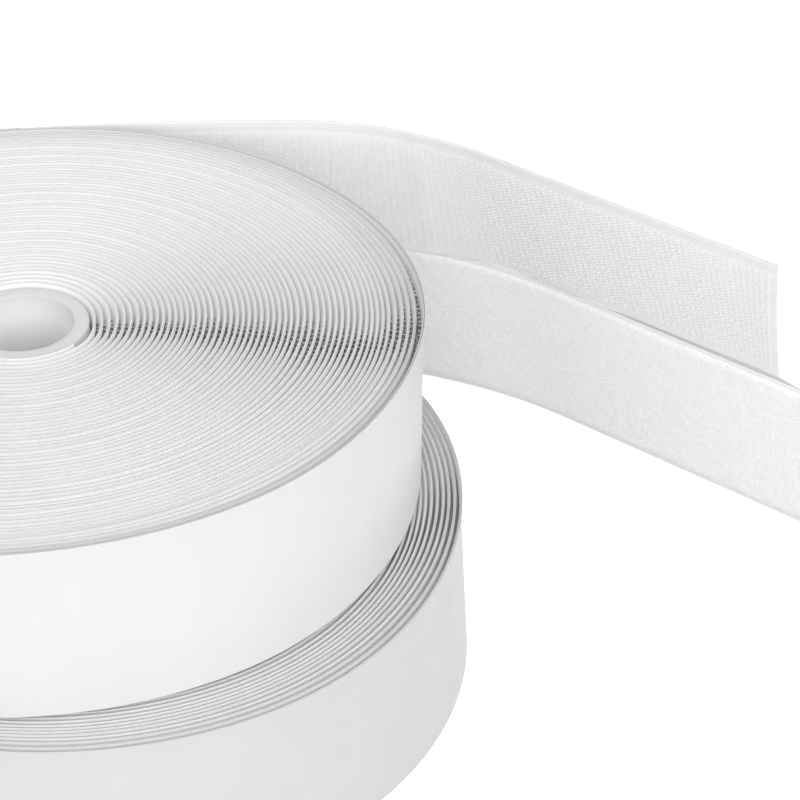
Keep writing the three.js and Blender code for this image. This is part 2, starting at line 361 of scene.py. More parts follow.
# Painted shade with painted glints: dark beds with paler specks for the crowded pile of each roll.
crowded_hooks = make_crowd("crowded_hooks_painted_shade", 0.9, "#747474", "#C4C4C4")
crowded_loops = make_crowd("crowded_loops_painted_shade", 0.6, "#989898", "#B8B8B8")

# %% [markdown]
# ## Finish: brushed loop pile
#
# The loop side is knitted of fine polyamide filament and brushed, which leaves a soft felt of tiny
# loops. It scatters light like velvet, so the shader has sheen, and its colour is mottled at the
# size of the tufts, about 0.7 mm, with a finer grain of single loops, about 0.4 mm, in the bump.

# %% Brushed loop pile
brushed_pile, tree = start_material("brushed_polyamide_pile")
place = add_node(tree, "TexCoord").outputs["Object"]
tufts = add_node(tree, "TexNoise", {
    "Vector": place, "Scale": noise_scale(0.7), "Detail": 4.0, "Roughness": 0.65})
fuzz = add_node(tree, "TexNoise", {"Vector": place, "Scale": noise_scale(0.4), "Detail": 2.0})
contrast = add_node(tree, "MapRange", {
    "Value": tufts, "From Min": 0.34, "From Max": 0.66, "To Min": 0.0, "To Max": 1.0})
colour = add_node(tree, "Mix", {
    0: contrast, MIX_A: srgb("#EAEAEA"), MIX_B: srgb("#FEFEFE")}, data_type="RGBA")
bump = add_node(tree, "Bump", {"Height": fuzz, "Strength": 0.8, "Distance": 0.2 * MM})
# The shader adds the painted glow, a trace of emission.
shader = add_node(tree, "BsdfPrincipled", {
    "Base Color": colour, "Roughness": 0.95, "IOR": 1.53, "Sheen Weight": 0.35, "Sheen Roughness": 0.6,
    "Normal": bump, **PAINTED_GLOW})
add_node(tree, "OutputMaterial", {"Surface": shader})
print(brushed_pile.name)

# %% [markdown]
# ## Finish: moulded polypropylene
#
# The core is sawn off a long tube of natural polypropylene. It looks smooth and slightly waxy, with a
# very fine grain and faint flow clouds. Its rim and the bore near its mouth are painted grey, as
# painted shade. How far a point is below the rim is kept in the UV map of the core.

# %% Moulded polypropylene
RIM_SHADE_DEPTH = 7.0
moulded_core, tree = start_material("moulded_polypropylene")
place = add_node(tree, "TexCoord").outputs["Object"]
grain = add_node(tree, "TexNoise", {"Vector": place, "Scale": noise_scale(0.5), "Detail": 3.0})
flow = add_node(tree, "TexNoise", {"Vector": place, "Scale": noise_scale(12), "Detail": 2.0})
colour = add_node(tree, "Mix", {
    0: flow, MIX_A: srgb("#F7F7F7"), MIX_B: srgb("#FCFCFC")}, data_type="RGBA")
below_rim = add_node(tree, "SeparateXYZ", {0: add_node(tree, "TexCoord").outputs["UV"]}).outputs["Y"]
# Painted shade: the rim, and the bore down to a set depth below it, turn grey.
rim_shade = add_node(tree, "MapRange", {"Value": below_rim, "From Min": -RIM_SHADE_DEPTH * MM, "From Max": -0.2 * MM})
colour = add_node(tree, "Mix", {0: rim_shade, MIX_A: colour, MIX_B: srgb("#D3D3D3")}, data_type="RGBA")
bump = add_node(tree, "Bump", {"Height": grain, "Strength": 0.3, "Distance": 0.05 * MM})
shader = add_node(tree, "BsdfPrincipled", {
    "Base Color": colour, "Roughness": 0.45, "IOR": 1.49, "Normal": bump})
add_node(tree, "OutputMaterial", {"Surface": shader})
print(moulded_core.name)

# %% [markdown]
# ## From arrays to meshes
#
# Nearly every piece here is a section carried along a path, so one pair of helpers does the work.
# The points of a sweep are an array of rings. A ring runs out along one face of the strip and back
# along the other, so an end is closed by a ladder of quads between the two faces. Whether the faces
# point outwards is read from the sign of the enclosed volume, and they are turned round if need be.

# %% Helpers for meshes
SMOOTH_UP_TO = math.radians(35)


def ring_quads(rings, size):
    """Corner numbers of the quads that join each ring of points to the next."""
    start = np.arange(rings - 1)[:, None] * size
    a = np.arange(size)
    b = (a + 1) % size
    return np.stack([start + a, start + b, start + b + size, start + a + size], axis=-1).reshape(-1, 4)


def sweep_faces(rings, size):
    """Quads from each ring to the next, then a ladder over the first ring and one over the last."""
    k = np.arange(size // 2 - 1)
    ladder = np.stack([k, size - 1 - k, size - 2 - k, k + 1], axis=-1)
    return np.concatenate([ring_quads(rings, size), ladder, ladder[:, ::-1] + (rings - 1) * size])


def enclosed_volume(points, quads):
    """Sum over the faces of (a . b x c + a . c x d) / 6, measured from the middle of the points."""
    a, b, c, d = np.moveaxis((points - points.mean(axis=0))[quads], 1, 0)
    return float((a * (np.cross(b, c) + np.cross(c, d))).sum() / 6)


def make_piece(name, points, quads, material, uv=None, triangles=None):
    """A mesh object from arrays of points and of corner numbers; points and uv are in mm."""
    if enclosed_volume(points, quads) < 0:
        quads = quads[:, ::-1]
        triangles = None if triangles is None else triangles[:, ::-1]
    kinds = [quads] if triangles is None else [quads, triangles]
    corners = np.concatenate([faces.ravel() for faces in kinds])
    sizes = np.concatenate([np.full(len(faces), faces.shape[1]) for faces in kinds])
    mesh = bpy.data.meshes.new(name)
    mesh.vertices.add(len(points))
    mesh.vertices.foreach_set("co", (points * MM).ravel())
    mesh.loops.add(len(corners))
    mesh.loops.foreach_set("vertex_index", corners)
    mesh.polygons.add(len(sizes))
    mesh.polygons.foreach_set("loop_start", np.cumsum(sizes) - sizes)
    mesh.update(calc_edges=True)
    mesh.polygons.foreach_set("use_smooth", np.ones(len(sizes), bool))
    mesh.set_sharp_from_angle(angle=SMOOTH_UP_TO)
    if uv is not None:
        mesh.uv_layers.new(name="strip").data.foreach_set("uv", (uv * MM)[corners].ravel())
    mesh.materials.append(material)
    piece = bpy.data.objects.new(name, mesh)
    bpy.context.collection.objects.link(piece)
    print(f"{name}: {int((sizes - 2).sum())} triangles")
    return piece


def sweep_piece(name, rings, uv, material):
    """A closed piece through an array of rings, one row of the array for each ring."""
    count, size = rings.shape[:2]
    return make_piece(name, rings.reshape(-1, 3), sweep_faces(count, size), material,
                      uv.reshape(-1, 2))


def smoothstep(x, low, high):
    """0 below low, 1 above high, and 3t^2 - 2t^3 between them."""
    t = np.clip((x - low) / (high - low), 0, 1)
    return t * t * (3 - 2 * t)


def round_axis(axis, radius, angle, height):
    """Points round an upright axis: x, y = axis + radius (cos, sin) of the angle, and z = height."""
    radius, angle, height = np.broadcast_arrays(radius, angle, height)
    return np.stack([axis[0] + radius * np.cos(angle), axis[1] + radius * np.sin(angle), height],
                    axis=-1)


# %% [markdown]
# ## The two cores
#
# A core is a plain moulded tube with eased edges, open right through so that a roll can hang on a
# spindle. A lathe is the natural way: a closed profile of radius and height is turned about the
# axis. The profile is an eased rectangle, with three points at each corner.

# %% Turn the cores
CORE_STEPS = 192
EASED, MITRE = 0.45, 0.13


def core_profile(floor, rim):
    """Radius and height round the wall: up the outside, over the eased rim and down the bore."""
    return np.array([
        (CORE_BORE + EASED, floor), (CORE_OUTER - EASED, floor), (CORE_OUTER - MITRE, floor + MITRE),
        (CORE_OUTER, floor + EASED), (CORE_OUTER, rim - EASED), (CORE_OUTER - MITRE, rim - MITRE),
        (CORE_OUTER - EASED, rim), (CORE_BORE + EASED, rim), (CORE_BORE + MITRE, rim - MITRE),
        (CORE_BORE, rim - EASED), (CORE_BORE, rim - RIM_SHADE_DEPTH), (CORE_BORE, floor + EASED),
        (CORE_BORE + MITRE, floor + MITRE)])


def make_core(name, axis, floor, rim):
    """Turns the profile by even steps round the axis. The ring after the last one is the first."""
    radius, height = core_profile(floor, rim).T
    turn = np.linspace(0, 2 * np.pi, CORE_STEPS, endpoint=False)[:, None]
    points = round_axis(axis, radius, turn, height).reshape(-1, 3)
    quads = ring_quads(CORE_STEPS + 1, len(radius)) % len(points)
    uv = np.stack(np.broadcast_arrays(radius * turn, height - rim), axis=-1)
    return make_piece(name, points, quads, moulded_core, uv.reshape(-1, 2))


for node, body, axis, low, high in (
        ("hook_core", "hook_hub", hook_axis, hook_core_low, hook_core_high),
        ("loop_core", "loop_roll", loop_axis, loop_core_low, loop_core_high)):
    tube = make_core(f"{node}_tube", axis, low[2], high[2])
    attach(tube, body)
    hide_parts(node)

# %% [markdown]
# ## How a roll is wound
#
# A roll is one strip that spirals out from its core, clockwise seen from above, with about 1.6 mm a
# turn. One could model a ring for each turn, but a real spiral has no seams and ends where the tail
# leaves it. The path is the radius of the strip's middle as a function of the angle swept. Real
# turns never lie quite evenly, so the radius wanders a little, more in the loose outer turns, and
# the edge of the strip wanders up and down. Both die away at the ends, where other pieces join on.

# %% The spiral paths
STEPS_PER_TURN = 120
FULL = 2 * np.pi
INNER_MIDDLE = CORE_OUTER + 0.4
CORE_PLAY = 0.05
WANDER = (0.34, 0.93, 0.4), (0.2, 1.87, 1.1), (0.07, 5.11, 2.0)
EDGE_PLAY = (0.27, 0.618, 0.0), (0.18, 1.31, 1.0), (0.1, 7.3, 0.0)

hook_roll = SimpleNamespace(
    name="hook", body="hook_roll", axis=hook_axis, floor=hook_floor, end_radius=103.68,
    inner_end=math.radians(-40), tail_angle=math.radians(95), turns=53, edge_play=0.3,
    proud=0.35, pile_drop=4.3, selvage=HOOK_SELVAGE, flare=0.25, film=hook_film,
    film_inset=0.5, leans=((0, 1.1, 32), (-115, 2.6, 26)))
loop_roll = SimpleNamespace(
    name="loop", body="loop_roll", axis=loop_axis, floor=loop_floor, end_radius=107.48,
    inner_end=math.radians(8), tail_angle=math.radians(143), turns=56, edge_play=0.2,
    proud=0.0, pile_drop=3.2, selvage=LOOP_SELVAGE, flare=0.3, film=shaded_loop_film,
    film_inset=0.15, leans=((0, -1.7, 28), (-52, 1.2, 22), (-112, -2.0, 24)))


def sum_of_sines(t, waves):
    """The sum of height * sin(pace * t + start) over waves of those three numbers."""
    return sum(height * np.sin(pace * t + start) for height, pace, start in waves)


def lay_path(roll, loose_places):
    """Radius, angle and edge height of the strip at each step of the angle t that it has swept.

    radius = inner + (end - inner) t / T + wander, angle = inner end - t. The first turn hugs the core
    and climbs over its own cut end late, and that step fades out over the next turns. The wander is
    a sum of slow sines that grow outwards. A loose place pushes out every later turn, by a bell. The
    edge of the last turn stands a little proud of the others.
    """
    rest = (roll.inner_end - roll.tail_angle) % FULL
    total = roll.turns * FULL + rest
    t = np.linspace(0, total, math.ceil(total / FULL * STEPS_PER_TURN) + 1)
    growth = 0.35 + 0.65 * (t / total) ** 3
    end_settle = 1 - smoothstep(t, total - 0.35 * FULL, total - 0.02 * FULL)
    settle = smoothstep(t, FULL, 4 * FULL) * end_settle
    wander = growth * sum_of_sines(t, WANDER)
    roll.swept = t
    roll.angle = roll.inner_end - t
    turn = t / FULL
    stair = np.floor(turn) + smoothstep(turn % 1, 0.86, 1.0)
    climb = stair + (turn - stair) * smoothstep(turn, 0.5, 9)
    thickness = (roll.end_radius - INNER_MIDDLE) * FULL / total
    roll.radius = INNER_MIDDLE + thickness * climb + wander * settle
    for turns_from_end, clock_angle, push, half_width in loose_places:
        swing = (roll.angle - math.radians(clock_angle) + np.pi) % FULL - np.pi
        bell = np.exp(-(swing / math.radians(half_width)) ** 2)
        start = total - turns_from_end * FULL
        roll.radius += push * bell * smoothstep(t, start - 0.2, start + 0.2) * settle
    uneven = 0.45 + sum_of_sines(t, EDGE_PLAY)
    last_turn = smoothstep(t, total - FULL, total - 0.85 * FULL) * end_settle
    roll.edge = roll.edge_play * uneven * settle + roll.proud * last_turn
    roll.slope = roll.flare * end_settle * (0.4 + 0.6 * smoothstep(t, 0, 4 * FULL)) * (
        1 - 0.7 * smoothstep(t, total - 10 * FULL, total - FULL))
    swing = (np.degrees(roll.angle)[:, None] - [at for at, _, _ in roll.leans] + 180) % 360 - 180
    bells = np.exp(-(swing / [width for _, _, width in roll.leans]) ** 2)
    roll.lean = bells @ [push for _, push, _ in roll.leans] * (t / total) ** 2 * end_settle
    behind = np.interp(t - FULL, t, roll.radius)
    first_turn = CORE_OUTER - FILM[1] + CORE_PLAY
    roll.behind = np.where(t < FULL, np.minimum(first_turn, behind), behind)
    roll.length = np.cumsum(roll.radius) * (t[1] - t[0])
    gaps = (roll.radius - roll.behind)[t >= FULL]
    print(roll.name, "path:", len(t), "steps, turns", round(float(gaps.min()), 2), "to",
          round(float(gaps.max()), 2), "mm apart")


lay_path(hook_roll, [(1.0, 13, 1.0, 24), (2.0, -47, 0.5, 17)])
lay_path(loop_roll, [(2.0, -12, 0.3, 50), (1.0, -12, 0.35, 50)])

# %% [markdown]
# ## The wound layers
#
# Each layer is an outline of a few points, so far out from the middle of the strip and so high,
# carried along the path. The pile is pressed against the film of the turn behind it, so its inner
# face follows the path one turn earlier. It starts below the plain selvage, which is why one looks
# down into a groove between the turns. Nothing holds the selvages apart, so their upper edges have
# come to lean outwards a little, which turns the grooves away from the upright. A roll that has been
# handled isn't a true cylinder either: in places its outer turns tip out or in over their whole width.

# %% Wind the layers
EDGE_EASE = 0.1
FLARE_HEIGHT, FLARE_BEND = 7.2, 1.6
LAYER_FLOOR, GLUE_DEEPER = 0.1, 0.1
PILE_GAP, PILE_SEAT = 0.03, -0.02


def flare_out(slope, lean, height):
    """How far out the strip is at a height: the edge's slope comes in evenly over a bend, then holds.

    With u the height above the start of the bend and b = min(u, bend), it is slope * (b^2 / (2 bend)
    + u - b), and the lean of the whole turn adds its share, lean * height / width."""
    above = np.clip(height - (TAPE_WIDTH - FLARE_HEIGHT), 0, None)
    bent = np.minimum(above, FLARE_BEND)
    return slope * (bent ** 2 / (2 * FLARE_BEND) + above - bent) + lean * height / TAPE_WIDTH


def wound_rings(roll, outward, height):
    """Rings of a layer: x, y = axis + (radius + outward) (cos, sin) of the angle, z = floor + height.

    outward and height hold one column for each point of the outline, and a row for each step of the
    path, or outward just one row. The edge leans out besides. The UV of a point is the length of strip
    from the root of the tail, negative on the roll, and its place across from the middle."""
    radius = roll.radius[:, None] + outward + flare_out(roll.slope[:, None], roll.lean[:, None], height)
    rings = round_axis(roll.axis, radius, roll.angle[:, None], roll.floor + height)
    from_root = (roll.length - roll.length[-1])[:, None]
    uv = np.stack(np.broadcast_arrays(from_root, height - HALF_WIDTH), axis=-1)
    return rings, uv


def wind_layers(roll, pile_material):
    """The woven base, the adhesive, the film and the bed of pile of one winding."""
    top = TAPE_WIDTH + roll.edge[:, None]
    low = 0 * top
    lean_low, lean_high = top - FLARE_HEIGHT, top - FLARE_HEIGHT + FLARE_BEND
    ease = BASE_HALF - EDGE_EASE
    base_out = np.array([-ease, *[-BASE_HALF] * 4, -ease, ease, *[BASE_HALF] * 4, ease])
    base_side = [low, low + EDGE_EASE, lean_low, lean_high, top - EDGE_EASE, top]
    base_height = np.concatenate(base_side + base_side[::-1], axis=1)
    tape = sweep_piece(f"{roll.name}_wound_tape", *wound_rings(roll, base_out, base_height),
                       woven_polyamide)
    layers = [tape]
    wound_in = 1 - smoothstep(roll.swept, roll.swept[-1] - 2 * FULL, roll.swept[-1] - FULL)[:, None]
    for name, (inside, outside), inset, material in (
            ("glue", GLUE, roll.film_inset + GLUE_DEEPER, acrylic_adhesive),
            ("film", FILM, roll.film_inset * wound_in, roll.film)):
        side = [low + LAYER_FLOOR, lean_low, lean_high, top - inset]
        rings = wound_rings(roll, np.array([inside] * 4 + [outside] * 4),
                            np.concatenate(side + side[::-1], axis=1))
        layers.append(sweep_piece(f"{roll.name}_wound_{name}", *rings, material))
    pressed = (roll.behind - roll.radius)[:, None] + FILM[1] + PILE_GAP
    root = np.full_like(pressed, -BASE_HALF + PILE_SEAT)
    bed_low, bed_high = low + roll.selvage, top - roll.pile_drop
    rings = wound_rings(roll, np.concatenate([pressed, pressed, root, root], axis=1),
                        np.concatenate([bed_low, bed_high, bed_high, bed_low], axis=1))
    layers.append(sweep_piece(f"{roll.name}_wound_pile", *rings, pile_material))
    for layer in layers:
        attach(layer, roll.body)
        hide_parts(f"{roll.name}_winding")


wind_layers(hook_roll, crowded_hooks)
wind_layers(loop_roll, crowded_loops)

# %% [markdown]
# ## Hooks that show between the turns
#
# Looking along the grooves of the upper roll one sees the first rows of hooks as beads of light on
# a dark ground. Only those rows are modelled, as short bent spikes of a few faces, because there
# are thousands of them and everything behind is hidden. Each is a small three-sided tube, and all
# of them are one array: the spike's points repeated at every root along the path.

# %% Stand the spikes in the grooves
SPIKE_SPACING = 2.2
SPIKE_ROWS = (("upper", 3.3, 0.0), ("lower", 4.0, 0.5))
SPIKE_PATH = [(0, 0), (0.05, 0.6), (0.45, 0.95)]
SPIKE_RADIUS = [0.13, 0.13, 0.078]
SPIKE_GAP, SPIKE_SEAT = 0.12, 0.04
rng = np.random.default_rng(54)


def tube_template(path, radius, sides=3):
    """Points of a thin tube: round each path point (run, rise), sides places at that radius.

    A place is turned from the path's own normal towards the sideways direction, so it has three
    numbers: run, rise and sideways. The faces are quads along the tube and a triangle at each end."""
    path, radius = np.asarray(path, float), np.broadcast_to(radius, len(path))
    heading = np.gradient(path, axis=0)
    heading /= np.linalg.norm(heading, axis=1, keepdims=True)
    normal = np.stack([-heading[:, 1], heading[:, 0]], axis=1)
    turn = FULL * np.arange(sides) / sides
    flat = path[:, None] + (radius[:, None] * np.cos(turn))[..., None] * normal[:, None]
    sideways = radius[:, None] * np.sin(turn)
    points = np.concatenate([flat, sideways[..., None]], axis=-1).reshape(-1, 3)
    last = (len(path) - 1) * sides
    ends = np.array([[2, 1, 0], [last, last + 1, last + 2]])
    return points, ring_quads(len(path), sides), ends


def repeat_tube(name, place, quads, ends, material):
    """One piece of many copies of a small tube: place has a row of points for each copy."""
    copies, size = place.shape[:2]
    start = np.arange(copies)[:, None, None] * size
    quads, ends = ((start + faces).reshape(-1, faces.shape[1]) for faces in (quads, ends))
    return make_piece(name, place.reshape(-1, 3), quads, material, triangles=ends)


def stand_spikes(roll, row, drop, shift):
    """Spikes every few mm of the strip: run is along the strip, rise is inwards, sideways is up."""
    points, quads, ends = tube_template(SPIKE_PATH, SPIKE_RADIUS)
    first, last = roll.length[STEPS_PER_TURN], roll.length[-1] - SPIKE_SPACING
    roots = np.arange(first, last, SPIKE_SPACING) + shift * SPIKE_SPACING
    roots = roots + rng.uniform(-0.35, 0.35, len(roots))
    swept = np.interp(roots, roll.length, roll.swept)[:, None]
    lean = rng.choice([-1.0, 1.0], len(roots))[:, None] * rng.uniform(0.6, 1.2, (len(roots), 1))
    radius, behind, edge, slope, tip = (np.interp(swept, roll.swept, track) for track in (
        roll.radius, roll.behind, roll.edge, roll.slope, roll.lean))
    room = radius - behind - BASE_HALF - FILM[1] - SPIKE_GAP
    droop = rng.uniform(-0.25, 0.35, (len(roots), 1))
    height = TAPE_WIDTH + edge - drop + points[:, 2] * np.sign(lean) + droop * points[:, 1]
    foot = radius + flare_out(slope, tip, height) - BASE_HALF + SPIKE_SEAT
    inward = foot - points[:, 1] * np.clip(room, 0.2, 1.0)
    angle = roll.inner_end - swept - points[:, 0] * lean / radius
    place = round_axis(roll.axis, inward, angle, roll.floor + height)
    spikes = repeat_tube(f"{roll.name}_wound_spikes_{row}", place, quads, ends, hook_monofilament)
    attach(spikes, roll.body)
    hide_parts(f"{roll.name}_winding")


for row, drop, shift in SPIKE_ROWS:
    stand_spikes(hook_roll, row, drop, shift)

# %% [markdown]
# ## How a free tail runs
#
# A tail leaves its roll along the tangent, then runs through straight stretches and bends to the
# right. It could be a curve with a profile, but a formula for any point of it lets hooks, loops and
# layers sit on the same surface. The formula walks along the runs, where a bend's chord points
# halfway through its angle, then tips the strip over by its lean, and goes across and outward from
# there. Towards the cut end, distances are drawn in, so that the cut is slanted and a little hollow.

# %% The path of the tails
hook_tail = SimpleNamespace(
    name="hook", body="hook_tail", roll=hook_roll, length=241.4,
    runs=((82.4, 0.0), (82 * math.radians(44.4), math.radians(44.4)), (300.0, 0.0)),
    lean=math.radians(19.3), lean_start=14.0, lean_run=135.0, rise=0.2, cut_skew=8.0, cut_hollow=0.7,
    crease=(116.0, 2.6, -0.3), slip=(0.0, 0.0, 1.0))
loop_tail = SimpleNamespace(
    name="loop", body="loop_tail", roll=loop_roll, length=385.0,
    runs=((193.3 * math.radians(31.6), math.radians(31.6)),
          (138.8 * math.radians(62), math.radians(62)), (400.0, 0.0)),
    lean=math.radians(7.5), lean_start=60.0, lean_run=120.0, rise=0.5, cut_skew=2.0, cut_hollow=0.3,
    crease=(250.0, 6.0, 0.0), slip=(1.2, 270.0, 343.0))


def walk_tail(tail, along):
    """Where the middle line gets to after a distance: each run adds its chord, at half its turn."""
    heading = np.full(along.shape, tail.roll.tail_angle - np.pi / 2)
    x = np.full(along.shape, tail.roll.end_radius * math.cos(tail.roll.tail_angle))
    y = np.full(along.shape, tail.roll.end_radius * math.sin(tail.roll.tail_angle))
    done = 0.0
    for length, turn in tail.runs:
        part = np.clip(along - done, 0, length)
        half = -0.5 * turn * part / length
        chord = part * np.sinc(half / np.pi)
        x, y = x + chord * np.cos(heading + half), y + chord * np.sin(heading + half)
        heading = heading + 2 * half
        done += length
    return x, y, heading


def tail_points(tail, along, across, outward):
    """Points of a tail: along its length, across from its middle and outward from its woven base.

    place = middle + width * across + away * outward, where width is upright, tipped towards the roll
    by the lean, and away is at right angles to it. The lean comes in by a smoothstep."""
    along, across, outward = np.broadcast_arrays(along, across, outward)
    reach = np.clip((along - tail.length + PEEL_LENGTH) / PEEL_LENGTH, 0, 1) ** 2
    side = across / TAPE_WIDTH
    along = along - reach * (tail.cut_skew * (0.5 - side) + tail.cut_hollow * (1 - 4 * side ** 2))
    x, y, heading = walk_tail(tail, along)
    leant = smoothstep(along, tail.lean_start, tail.lean_start + tail.lean_run)
    lean = tail.lean * leant
    fold_at, fold_width, fold_depth = tail.crease
    outward = outward + fold_depth * np.exp(-((along - fold_at) / fold_width) ** 2)
    sideways = across * np.sin(lean) - outward * np.cos(lean)
    upwards = across * np.cos(lean) + outward * np.sin(lean)
    middle = tail.roll.floor + tail.rise * leant + HALF_WIDTH * np.cos(lean)
    return np.stack([tail.roll.axis[0] + x + np.sin(heading) * sideways,
                     tail.roll.axis[1] + y - np.cos(heading) * sideways, middle + upwards], axis=-1)


def ribbon(tail, along, across, inner, outer):
    """Rings of a layer of a tail: across its inner face one way and across its outer face back."""
    along, across, inner, outer = np.broadcast_arrays(along[:, None], across, inner, outer)
    faces = [tail_points(tail, along, across, face) for face in (inner, outer)]
    uv = np.stack([along, across], axis=-1)
    return (np.concatenate([faces[0], faces[1][:, ::-1]], axis=1),
            np.concatenate([uv, uv[:, ::-1]], axis=1))


for tail in (hook_tail, loop_tail):
    tail.fold = tail.length - PEEL_LENGTH
    tip = tail_points(tail, np.array([tail.length]), np.array([0.0]), np.array([0.0]))
    print(tail.name, "tail ends at", tip[0].round(1), "mm")

# %% [markdown]
# ## Setting the pieces of a tail in place
#
# Each piece of a tail has its place baked into its mesh, and the solid that it replaces is hidden.
# The end of the film is set the same way, between the stuck film and the part that peels back.


def follow(piece, tail, start, nodes):
    """Bakes the piece's place into its mesh and hides the solids it replaces; the tail points at start
    go unused.
    """
    at = np.array([start, start + 0.01])
    begin, onward = tail_points(tail, at, np.zeros(2), np.zeros(2))
    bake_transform(piece)
    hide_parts(*nodes)


def follow_tail(piece, tail, node):
    """A piece of the tail, baked in place from its root on the roll, with its solid hidden."""
    follow(piece, tail, 0.0, [f"{tail.name}_{node}"])


# %% [markdown]
# ## The woven base of the tails
#
# The base is a plain strip with a finer selvage along both edges. A flat ribbon would do from afar,
# but up close its edge is what tells cloth from card: the weft turns back there, so the edge is
# faintly scalloped, and here and there it is nicked. A shallow groove parts the selvage from the
# field of hooks. All of it is the same grid of along and across, with the numbers nudged.

# %% Weave the base of each tail
WEAVE_STEP = 0.4
SCALLOP, SCALLOP_SPACING = 0.05, 1.3
GROOVE, GROOVE_WIDTH = 0.1, 0.35


def weave_base(tail, nicks):
    """The base: the width loses a small sine at its edges and a bell for each nick, and the inner
    face is pressed in by a bell along both lines where the selvage meets the pile."""
    along = np.linspace(0, tail.length, math.ceil(tail.length / WEAVE_STEP))
    selvage = tail.roll.selvage
    line = HALF_WIDTH - selvage
    half = np.array([0, 7, 14, line - 0.8, line - 0.3, line, line + 0.3, line + 0.6,
                     HALF_WIDTH - 0.5, HALF_WIDTH - 0.25, HALF_WIDTH])
    flat = np.concatenate([-half[:0:-1], half])
    loss = SCALLOP * (1 + np.sin(FULL * along / SCALLOP_SPACING + np.sin(along / 9)))
    for at, depth, width in nicks:
        loss = loss + depth * np.exp(-((along - at) / width) ** 2)
    drawn_in = np.where(np.abs(flat) > line, (np.abs(flat) - line) / selvage, 0) * np.sign(flat)
    across = flat - drawn_in * loss[:, None] * np.where(flat > 0, 1.0, 0.5)
    groove = GROOVE * np.exp(-((np.abs(flat) - line) / GROOVE_WIDTH) ** 2)
    thin = np.where(np.abs(flat) > HALF_WIDTH - 0.1, 0.5, 1.0)
    base = sweep_piece(f"{tail.name}_tail_weave",
                       *ribbon(tail, along, across, -BASE_HALF * thin + groove, BASE_HALF * thin),
                       woven_polyamide)
    follow_tail(base, tail, "tail_tape")


weave_base(hook_tail, [(150, 0.45, 1.4), (187, 0.35, 1.2), (96, 0.2, 2.0)])
weave_base(loop_tail, [(210, 0.2, 2.0), (318, 0.25, 1.6)])

# %% [markdown]
# ## The hooks of the upper tail
#
# Hook tape is woven with a stiff filament that stands up in loops, and each loop is cut through on
# one side, which leaves a hook. The hooks stand in columns across the tape, and neighbouring columns
# face opposite ways, which gives the fine herringbone glitter. Each hook is a bent tube of about
# thirty faces, and one array formula places all of them: root + run * direction + rise inwards.

# %% Plant the hooks
HOOK_COLUMN, HOOK_ROW = 1.1, 1.2
HOOK_SLANT = math.radians(38)
HOOK_PATH = [(0.0, 0.0), (0.0, 0.45), (0.1, 0.8), (0.3, 0.95), (0.5, 0.86), (0.58, 0.62)]
HOOK_RADIUS = [0.11, 0.11, 0.105, 0.1, 0.095, 0.07]
HOOKS_PRESSED = (0.8, 12.0)
HOOK_SEAT = 0.03


def height_near_root(along, least, run):
    """Share of its full height that a pile has, from least at the root, where it is pressed, to 1."""
    return least + (1 - least) * smoothstep(along, 0, run)


def plant_hooks(tail, name, facing, first_column):
    """Every second column of hooks, all facing one way: run slants across the tape by a set angle."""
    points, quads, ends = tube_template(HOOK_PATH, HOOK_RADIUS)
    reach = HALF_WIDTH - tail.roll.selvage - 0.5
    columns = np.arange(0.8 + first_column * HOOK_COLUMN, tail.length - 0.9, 2 * HOOK_COLUMN)
    rows = np.arange(-reach, reach, HOOK_ROW)
    along, across = (grid.ravel()[:, None] for grid in np.meshgrid(columns, rows, indexing="ij"))
    across = across + 0.5 * HOOK_ROW * first_column
    count = len(along)
    along = along + rng.normal(0, 0.1, (count, 1))
    across = across + rng.normal(0, 0.08, (count, 1))
    slant = HOOK_SLANT + rng.normal(0, 0.2, (count, 1))
    size = rng.uniform(0.88, 1.06, (count, 1))
    tall = size * height_near_root(along, *HOOKS_PRESSED)
    run, rise, sideways = points.T
    ahead, aside = facing * np.cos(slant), np.sin(slant)
    place = tail_points(tail, along + ahead * run * size - aside * sideways * facing,
                        across + aside * run * size + np.cos(slant) * sideways,
                        -BASE_HALF + HOOK_SEAT - rise * tall)
    hooks = repeat_tube(name, place, quads, ends, hook_monofilament)
    follow_tail(hooks, tail, "tail_hooks")


plant_hooks(hook_tail, "hook_tail_hooks_forward", 1, 0)
plant_hooks(hook_tail, "hook_tail_hooks_back", -1, 1)

# %% [markdown]
# ## The pile of the lower tail
#
# Loop pile is a felt of fine loops. Millions of loops would be needed to model it whole, so it is
# built in two depths: a bed whose surface is lifted by smooth random noise, at the size of the tufts,
# and a few thousand loose arcs that stand out of it and break up its outline.

# %% Raise the bed of pile
PILE_STEP = 0.8
PILE_BED, PILE_ROUGH, PILE_EDGE = 0.75, 0.2, 1.2
PILE_PRESSED = (0.7, 13.0)
BED_SEAT = 0.05


def tuft_noise(x, y, cell, generator):
    """Smooth noise from 0 to 1: random values on a lattice, blended between corners by smoothsteps."""
    i, j = np.floor(x / cell).astype(int), np.floor(y / cell).astype(int)
    i, j = i - i.min(), j - j.min()
    lattice = generator.random((i.max() + 2, j.max() + 2))
    u, v = smoothstep(x / cell % 1, 0, 1), smoothstep(y / cell % 1, 0, 1)
    low = lattice[i, j] * (1 - u) + lattice[i + 1, j] * u
    high = lattice[i, j + 1] * (1 - u) + lattice[i + 1, j + 1] * u
    return low * (1 - v) + high * v


